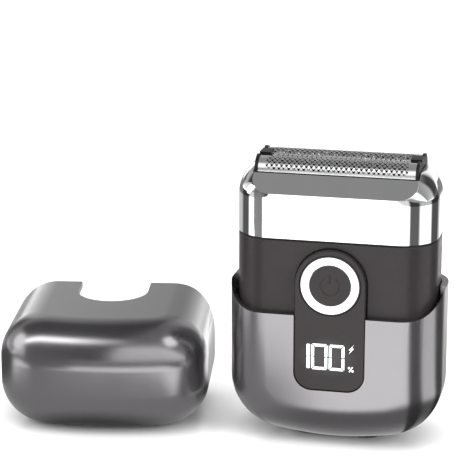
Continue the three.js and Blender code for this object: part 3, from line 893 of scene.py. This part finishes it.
def makeFoil(side):
    # a flat sheet with staggered round holes, bent over its arch and given its thickness
    radius = foil["radius"]
    girth = math.pi * radius
    columns = 2 * round((foil["halfLength"] - foil["margin"]) * 2 / foil["pitch"])
    rows = 2 * round(girth / foil["row"] / 2)
    bm = bmesh.new()
    bmesh.ops.create_grid(bm, x_segments=2 * columns, y_segments=2 * rows, size=1)
    stepX, stepY = 2 / (2 * columns), 2 / (2 * rows)
    holes = []
    for vert in bm.verts:
        i, j = round((vert.co.x + 1) / stepX), round((vert.co.y + 1) / stepY)
        inner = 0 < i < 2 * columns and 0 < j < 2 * rows
        if inner and not i % 2 and not j % 2 and (i // 2 + j // 2) % 2:
            holes.append(vert)
    reachX = foil["halfLength"] - foil["margin"]
    for vert in bm.verts:
        vert.co = Vector((vert.co.x * reachX, vert.co.y * girth / 2, 0)) * mm
    # the eight neighbours of a hole's middle move onto its circle before the middle goes
    for vert in holes:
        middle = vert.co.copy()
        for face in vert.link_faces:
            for corner in face.verts:
                if corner is not vert:
                    corner.co = middle + (corner.co - middle).normalized() * foil["hole"] * mm
    bmesh.ops.delete(bm, geom=holes, context="VERTS")
    # plain margins at both ends
    for end in (-1, 1):
        border = [edge for edge in bm.edges if edge.is_boundary
                  and all(abs(vert.co.x - end * reachX * mm) < 1e-7 for vert in edge.verts)]
        grown = bmesh.ops.extrude_edge_only(bm, edges=border)
        move(bm, (end * foil["margin"] * mm, 0, 0), newVerts(grown))
    middleRadius = radius - foil["thickness"] / 2
    for vert in bm.verts:
        angle = vert.co.y / mm / radius
        lower = max(0, abs(angle) - math.pi / 2)
        across = middleRadius * math.sin(angle) + sides[side]
        up = middleRadius * math.cos(angle) - lower
        vert.co = Vector((vert.co.x / mm, across, foil["centreZ"] + up)) * mm
    skirt = [edge for edge in bm.edges if edge.is_boundary
             and all(abs(vert.co.z - foil["centreZ"] * mm) < 1e-6 for vert in edge.verts)]
    grown = bmesh.ops.extrude_edge_only(bm, edges=skirt)
    move(bm, (0, 0, -foil["skirt"] * mm), newVerts(grown))
    sheet = finishMesh(bm, "foil" + side.capitalize(), 40)
    modifier = sheet.modifiers.new("thickness", "SOLIDIFY")
    modifier.thickness = foil["thickness"] * mm
    modifier.offset = 0
    modifier.use_rim = True
    applyModifiers(sheet)
    sheet.data.set_sharp_from_angle(angle=rad(40))
    return dress(sheet, "cassette", finishes["foil"], "foil_" + side, slot="foil_steel")


def lobes(radius, low, x0, x1):
    # two round-topped arches side by side, as overlapping solids
    forms = []
    for y in sides.values():
        forms.append(rod(radius, (x0, y, foil["centreZ"]), (x1, y, foil["centreZ"]), 64))
        forms.append(block((x0, y - radius, low), (x1, y + radius, foil["centreZ"])))
    return forms


def makeCassette():
    low, high = cassette["low"], cassette["railHigh"]
    halfX, halfY = cassette["plateInner"] + 0.2, cassette["railOuter"] - 0.1
    forms = []
    for side in (-1, 1):
        x0, x1 = sorted((side * cassette["plateInner"], side * cassette["plateOuter"]))
        y0, y1 = sorted((side * cassette["railInner"], side * cassette["railOuter"]))
        forms.append(block((-halfX, y0, low), (halfX, y1, high)))
        forms.append(block((x0, -halfY, low + 0.1), (x1, halfY, high - 0.1)))
        forms += lobes(foil["radius"] - 0.5, high - 0.5, x0, x1)
    holder = joined("cassetteFrame", *forms)
    complete(holder, 0.1, "cassette", "blackPlastic", "cassette_frame", "black_plastic", segments=1, angle=50)

    for side, name in ((-1, "left"), (1, "right")):
        x0, x1 = sorted((side * endCap["inner"], side * endCap["outer"]))
        t0, t1 = sorted((side * endCap["tabInner"], side * endCap["outer"]))
        forms = lobes(endCap["radius"], low + 0.3, x0, x1)
        forms.append(block((x0, -2, low + 0.3), (x1, 2, endCap["tabHigh"])))
        half = endCap["tabHalf"]
        forms.append(block((t0, -half, endCap["tabLow"]), (t1, half, endCap["tabHigh"])))
        closed = joined("endCap" + name.capitalize(), *forms)
        complete(closed, 0.18, "cassette", "blackPlastic", "end_cap_" + name, "black_plastic")


def makeComb():
    # a bent-down sheet, slotted across, then given its thickness
    halfX, halfY, wall = cassette["plateInner"] - 0.1, comb["halfDepth"] - comb["wall"] / 2, comb["wall"]
    bm = block((-halfX, -halfY, comb["low"]), (halfX, halfY, comb["top"] - wall / 2))
    opened = [face for face in bm.faces if abs(face.normal.x) > 0.9 or face.normal.z < -0.9]
    bmesh.ops.delete(bm, geom=opened, context="FACES_ONLY")
    roundEdges(bm, edgesAlong(bm, axisX, lambda middle: middle.z > (comb["top"] - 0.9) * mm), comb["edge"], 4)
    count = round(2 * comb["halfRow"] / comb["pitch"])
    slots = [-comb["halfRow"] + comb["pitch"] * i for i in range(count + 1)]
    sliceAcross(bm, [x + half for x in slots for half in (-comb["slot"] / 2, comb["slot"] / 2)], axisX)
    slotFoot = comb["top"] - comb["slotDepth"]
    sliceAcross(bm, [slotFoot], axisZ)
    opened = [face for face in bm.faces if face.calc_center_median().z > slotFoot * mm
             and any(abs(face.calc_center_median().x - x * mm) < comb["slot"] / 2 * mm for x in slots)]
    bmesh.ops.delete(bm, geom=opened, context="FACES")
    guard = finishMesh(bm, "trimmerComb", 40)
    modifier = guard.modifiers.new("thickness", "SOLIDIFY")
    modifier.thickness = wall * mm
    modifier.offset = 0
    applyModifiers(guard)
    guard.data.set_sharp_from_angle(angle=rad(40))
    return dress(guard, "cassette", finishes["comb"], "trimmer_comb", slot="foil_steel")


for side in sides:
    makeFoil(side)
makeCassette()
makeComb()
print("cassette made")


# coil springs between bridge and cutters

spring = {"wire": 0.25, "turns": 4, "stepsPerTurn": 24, "segments": 10}


def makeSpring(side, end):
    name = "cutter_spring_" + side + "_" + end
    low, high = (Vector(corner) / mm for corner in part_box(name))
    wire, middle = spring["wire"], (low + high) / 2
    radius = (high.x - low.x) / 2 - wire
    steps = spring["turns"] * spring["stepsPerTurn"]
    rise = (high.z - low.z - 2 * wire) / steps
    bm = bmesh.new()
    upright = Matrix.Rotation(rad(90), 4, "X")
    bmesh.ops.create_circle(bm, segments=spring["segments"], radius=wire * mm, matrix=upright)
    move(bm, Vector((middle.x + radius, middle.y, low.z + wire)) * mm)
    bmesh.ops.spin(bm, geom=bm.verts[:] + bm.edges[:], cent=middle * mm, axis=axisZ, dvec=(0, 0, rise * mm),
                   angle=rad(360 * spring["turns"]), steps=steps, use_merge=False, use_duplicate=False)
    bmesh.ops.holes_fill(bm, edges=[edge for edge in bm.edges if edge.is_boundary])
    coil = finishMesh(bm, "cutterSpring" + side.capitalize() + end.capitalize(), 50)
    coil.data.materials.append(finishes["blade"])
    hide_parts(name)
    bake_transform(coil)


for side in sides:
    for end in ("left", "right"):
        makeSpring(side, end)
print("springs made")


# the inner parts keep their CAD shape and take a finish

innerFinishes = {
    "can": ("motor_can",),
    "brass": ("crank_hub",),
    "board": ("main_board", "charging_board"),
    "sleeve": ("battery_cell",),
    "grey": ("chassis", "motor_deck", "drive_bridge"),
    "blackPlastic": ("display_module", "button_switch", "socket_tongue", "motor_end_bell",
                     "cutter_carrier_front", "cutter_carrier_rear"),
    "blade": ("guide_rod_front", "guide_rod_rear", "deck_screw_1", "deck_screw_2", "deck_screw_3",
              "deck_screw_4", "motor_shaft", "trimmer_blade", "cutter_blades_front", "cutter_blades_rear"),
}
for finish, names in innerFinishes.items():
    for name in names:
        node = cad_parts[name]
        node.data.materials.clear()
        node.data.materials.append(finishes[finish])
print("inner parts finished")


# floor and studio light: soft boxes light the floor, and cards that only reflections see shape the gloss

studio = {
    "floorRadius": 6.0, "domeRadius": 5.7, "turnFades": (3.0, 5.2), "brightest": 4,
    "cardZ": -0.0005, "flatX": 0.0175,
    "floor": 0.9, "floorRoughness": 0.12, "floorSpecular": 0.5,
    "world": 1.0, "lampAim": (-0.03, 0, 0.03),
    "top": {"place": (0.0, -0.1, 1.2), "size": (1.4, 1.1), "power": 12.0},
    "left": {"place": (-1.0, -0.6, 0.7), "size": (0.5, 1.0), "power": 8.0},
    "right": {"place": (1.0, -0.5, 0.7), "size": (0.5, 1.0), "power": 8.0},
    # brightness on the floor card by the direction from the shaver, in degrees from the front to the right
    "floorTurn": ((-180, 2.2), (-174, 2.2), (-166, 0.6), (-118, 0.6), (-107, 0.1), (-82, 0.1), (-75, 2.1),
                  (-57, 2.1), (-51, 0.3), (-40, 0.35), (-34, 2.3), (28, 2.3), (34, 0.13), (59, 0.13), (67, 1.6),
                  (102, 1.6), (110, 0.09), (143, 0.09), (153, 0.6), (166, 0.7), (174, 2.2), (180, 2.2)),
    # brightness by the distance from the shaver's middle line, in metres
    "floorReach": ((0.008, 0.3), (0.016, 0.13), (0.03, 0.1), (0.039, 1.0), (0.33, 1.0), (0.38, 0.35),
                   (0.8, 0.35)),
    # brightness of the dome by the angle over the top, from the back horizon to the front
    "domeOver": ((-10, 1.1), (3, 1.1), (11, 0.52), (15, 0.5), (30, 0.44), (60, 0.34), (108, 0.26),
                 (116, 0.27), (124, 0.7), (134, 1.7), (150, 1.5), (162, 1.3), (172, 0.3), (190, 0.3)),
    # and by the direction, in degrees from the back towards the right
    "domeTurn": ((-180, 1.0), (-105, 1.0), (-92, 1.9), (-66, 1.9), (-54, 0.2), (-42, 0.3), (-35, 2.2),
                 (-31, 2.2), (-14, 1.0), (0, 0.9), (8, 1.8), (22, 2.1), (32, 0.15), (56, 0.12), (66, 1.3),
                 (100, 1.2), (180, 1.0)),
    # an arched card round the cap, dark with one bright strip high at its front; millimetres, and tones by
    # the angle from the back
    "capArch": {
        "middle": (-10.0, 27.0), "radius": 110.0, "left": -220.0, "right": -50.0, "from": 42, "to": 193,
        "tones": ((42, 0.5), (54, 0.4), (64, 0.05), (110, 0.05), (117, 6.0), (123, 6.0), (130, 0.2),
                  (150, 0.16), (166, 0.22), (193, 0.3)),
        "fadeFrom": -0.1, "fadeTo": -0.06, "fade": 0.2, "openFrom": -0.088, "openBelow": 0.046,
    },
    # the floor before the cap is calmer, and dark right under it; distances from the two middles in metres
    "calmMiddle": (-0.078, -0.04), "calm": ((0.0, 1.0), (0.056, 1.0), (0.072, 0.0)),
    "capMiddle": (-0.07, 0.002), "underCap": ((0.0, 0.1), (0.021, 0.1), (0.03, 0.52)),
    # small bright cards for the cap's corners, seen from its middle
    "sparkMiddle": (-0.067, -0.018, 0.027),
    "sparks": ({"turn": -85, "height": 23, "distance": 0.16, "size": 0.04, "tone": 2.6},
               {"turn": 76, "height": 51, "distance": 0.3, "size": 0.07, "tone": 3.0}),
}


def onlyReflections(card):
    card.visible_camera = card.visible_diffuse = card.visible_shadow = False
    card.visible_transmission = card.visible_volume_scatter = False


def toneAlong(made, source, stops, low, high):
    # brightness stops along an angle in degrees or a distance in metres; a ramp holds no more than 1,
    # so the tones go in divided and come out multiplied
    most = studio["brightest"]
    tones = [((place - low) / (high - low), (tone / most,) * 3) for place, tone in stops]
    return made.math("MULTIPLY", made.ramp(made.rescale(source, low, high), *tones), most)


def glowOnly(made, strength):
    emission = made.node("Emission")
    if isinstance(strength, float):
        emission.inputs["Strength"].default_value = strength
    else:
        made.link(strength, emission.inputs["Strength"])
    made.link(emission.outputs[0], made.tree.nodes["Material Output"].inputs["Surface"])
    return made.material


def makeFloorCard():
    bm = bmesh.new()
    bmesh.ops.create_circle(bm, cap_ends=True, segments=64, radius=studio["floorRadius"])
    move(bm, (0, 0, studio["cardZ"]))
    card = finishMesh(bm, "floorCard")
    made = Finish("floorCardGlow")
    place = made.parts()
    toFront = made.math("MULTIPLY", place["Y"], -1)
    # seen from the nearest corner of the shaver, so the front of a flat side counts as straight ahead
    pastSide = made.math("SUBTRACT", made.math("ABSOLUTE", place["X"]), studio["flatX"])
    pastSide = made.math("MAXIMUM", pastSide, 0)
    sideways = made.math("MULTIPLY", pastSide, made.math("SIGN", place["X"]))
    byTurn = toneAlong(made, made.degrees(sideways, toFront), studio["floorTurn"], -180, 180)
    distance = made.math("SQRT", made.math("ADD", made.math("MULTIPLY", pastSide, pastSide),
                                           made.math("MULTIPLY", toFront, toFront)))
    byReach = toneAlong(made, distance, studio["floorReach"], 0, 0.8)
    byShaver = made.math("MULTIPLY", byTurn, byReach)
    blend = made.node("Mix", data_type="FLOAT")
    for middle, stops, socket in (("calmMiddle", "calm", "Factor"), ("capMiddle", "underCap", "B")):
        apart = made.node("VectorMath", operation="DISTANCE")
        made.link(made.place, apart.inputs[0])
        apart.inputs[1].default_value = (*studio[middle], studio["cardZ"])
        made.link(toneAlong(made, apart.outputs["Value"], studio[stops], 0, 0.2), blend.inputs[socket])
    made.link(byShaver, blend.inputs["A"])
    card.data.materials.append(glowOnly(made, blend.outputs["Result"]))
    onlyReflections(card)


def makeDome():
    bm = bmesh.new()
    bmesh.ops.create_uvsphere(bm, u_segments=64, v_segments=32, radius=studio["domeRadius"])
    dome = finishMesh(bm, "dome")
    made = Finish("domeGlow")
    place = made.parts()
    byOver = toneAlong(made, made.degrees(place["Z"], place["Y"]), studio["domeOver"], -10, 190)
    byTurn = toneAlong(made, made.degrees(place["X"], place["Y"]), studio["domeTurn"], -180, 180)
    # near the zenith the direction means nothing, so it only counts low down
    blend = made.node("Mix", data_type="FLOAT")
    made.link(made.rescale(place["Z"], *studio["turnFades"]), blend.inputs["Factor"])
    made.link(byTurn, blend.inputs["A"])
    blend.inputs["B"].default_value = 1.0
    dome.data.materials.append(glowOnly(made, made.math("MULTIPLY", byOver, blend.outputs["Result"])))
    onlyReflections(dome)


def makeCapArch():
    setting = studio["capArch"]
    y, z = setting["middle"]
    bm = bmesh.new()
    across = setting["left"], setting["right"]
    ends = [bm.verts.new(Vector((x, y + setting["radius"], z)) * mm) for x in across]
    edge = bm.edges.new(ends)
    centre = Vector((0, y, z)) * mm
    turnAbout(bm, "X", setting["from"], centre)
    bmesh.ops.spin(bm, geom=[edge] + ends, cent=centre, axis=axisX, steps=48, use_merge=False,
                   use_duplicate=False, angle=rad(setting["to"] - setting["from"]))
    arch = finishMesh(bm, "capArch")
    made = Finish("capArchGlow")
    place, around = made.parts(), made.parts(made.mapping(location=-centre))
    over = made.degrees(around["Z"], around["Y"])
    over = made.math("ADD", over, made.math("MULTIPLY", made.math("LESS_THAN", over, -90), 360))
    tones = toneAlong(made, over, setting["tones"], setting["from"], setting["to"])
    fade = made.rescale(place["X"], setting["fadeFrom"], setting["fadeTo"], 1.0, setting["fade"])
    arch.data.materials.append(glowOnly(made, made.math("MULTIPLY", tones, fade)))
    # its foot is open towards the shaver
    shut = made.math("LESS_THAN", place["X"], setting["openFrom"])
    high = made.math("GREATER_THAN", place["Z"], setting["openBelow"])
    opened = made.node("MixShader")
    made.link(made.math("MAXIMUM", shut, high), opened.inputs[0])
    made.link(made.node("BsdfTransparent").outputs[0], opened.inputs[1])
    made.link(made.tree.nodes["Emission"].outputs[0], opened.inputs[2])
    made.link(opened.outputs[0], made.tree.nodes["Material Output"].inputs["Surface"])
    onlyReflections(arch)


def makeSpark(turn, height, distance, size, tone):
    aim = direction(turn, height)
    bm = bmesh.new()
    bmesh.ops.create_circle(bm, cap_ends=True, segments=32, radius=size,
                            matrix=aim.to_track_quat("Z", "Y").to_matrix().to_4x4())
    move(bm, Vector(studio["sparkMiddle"]) + aim * distance)
    card = finishMesh(bm, "spark")
    made = Finish("sparkGlow")
    card.data.materials.append(glowOnly(made, tone))
    onlyReflections(card)


def makeStudio():
    bm = bmesh.new()
    bmesh.ops.create_circle(bm, cap_ends=True, segments=64, radius=studio["floorRadius"])
    ground = finishMesh(bm, "floor")
    made = Finish("floorFinish")
    wide = made.noise(3, 2)
    tone = studio["floor"]
    plain, light = (tone, tone, tone), (tone + 0.01, tone + 0.01, tone + 0.012)
    made.drive("Base Color", made.ramp(wide, (0.3, plain), (0.7, light)))
    made.shader.inputs["Roughness"].default_value = studio["floorRoughness"]
    made.shader.inputs["Specular IOR Level"].default_value = studio["floorSpecular"]
    ground.data.materials.append(made.material)
    ground.visible_glossy = False
    makeFloorCard()
    makeDome()
    makeCapArch()
    for spark in studio["sparks"]:
        makeSpark(**spark)

    world = bpy.data.worlds.new("studio")
    world.use_nodes = True
    world.node_tree.nodes["Background"].inputs["Color"].default_value = (1, 1, 1, 1)
    world.node_tree.nodes["Background"].inputs["Strength"].default_value = studio["world"]
    scene.world = world
    for name in ("top", "left", "right"):
        setting = studio[name]
        data = bpy.data.lights.new(name, "AREA")
        data.shape = "RECTANGLE"
        data.size, data.size_y = setting["size"]
        data.energy = setting["power"]
        lamp = bpy.data.objects.new(name, data)
        scene.collection.objects.link(lamp)
        lamp.location = setting["place"]
        lamp.visible_glossy = False
        aim = Vector(studio["lampAim"]) - lamp.location
        lamp.rotation_euler = aim.to_track_quat("-Z", "Y").to_euler()
    scene.view_settings.view_transform = "Standard"


makeStudio()
print("studio made")
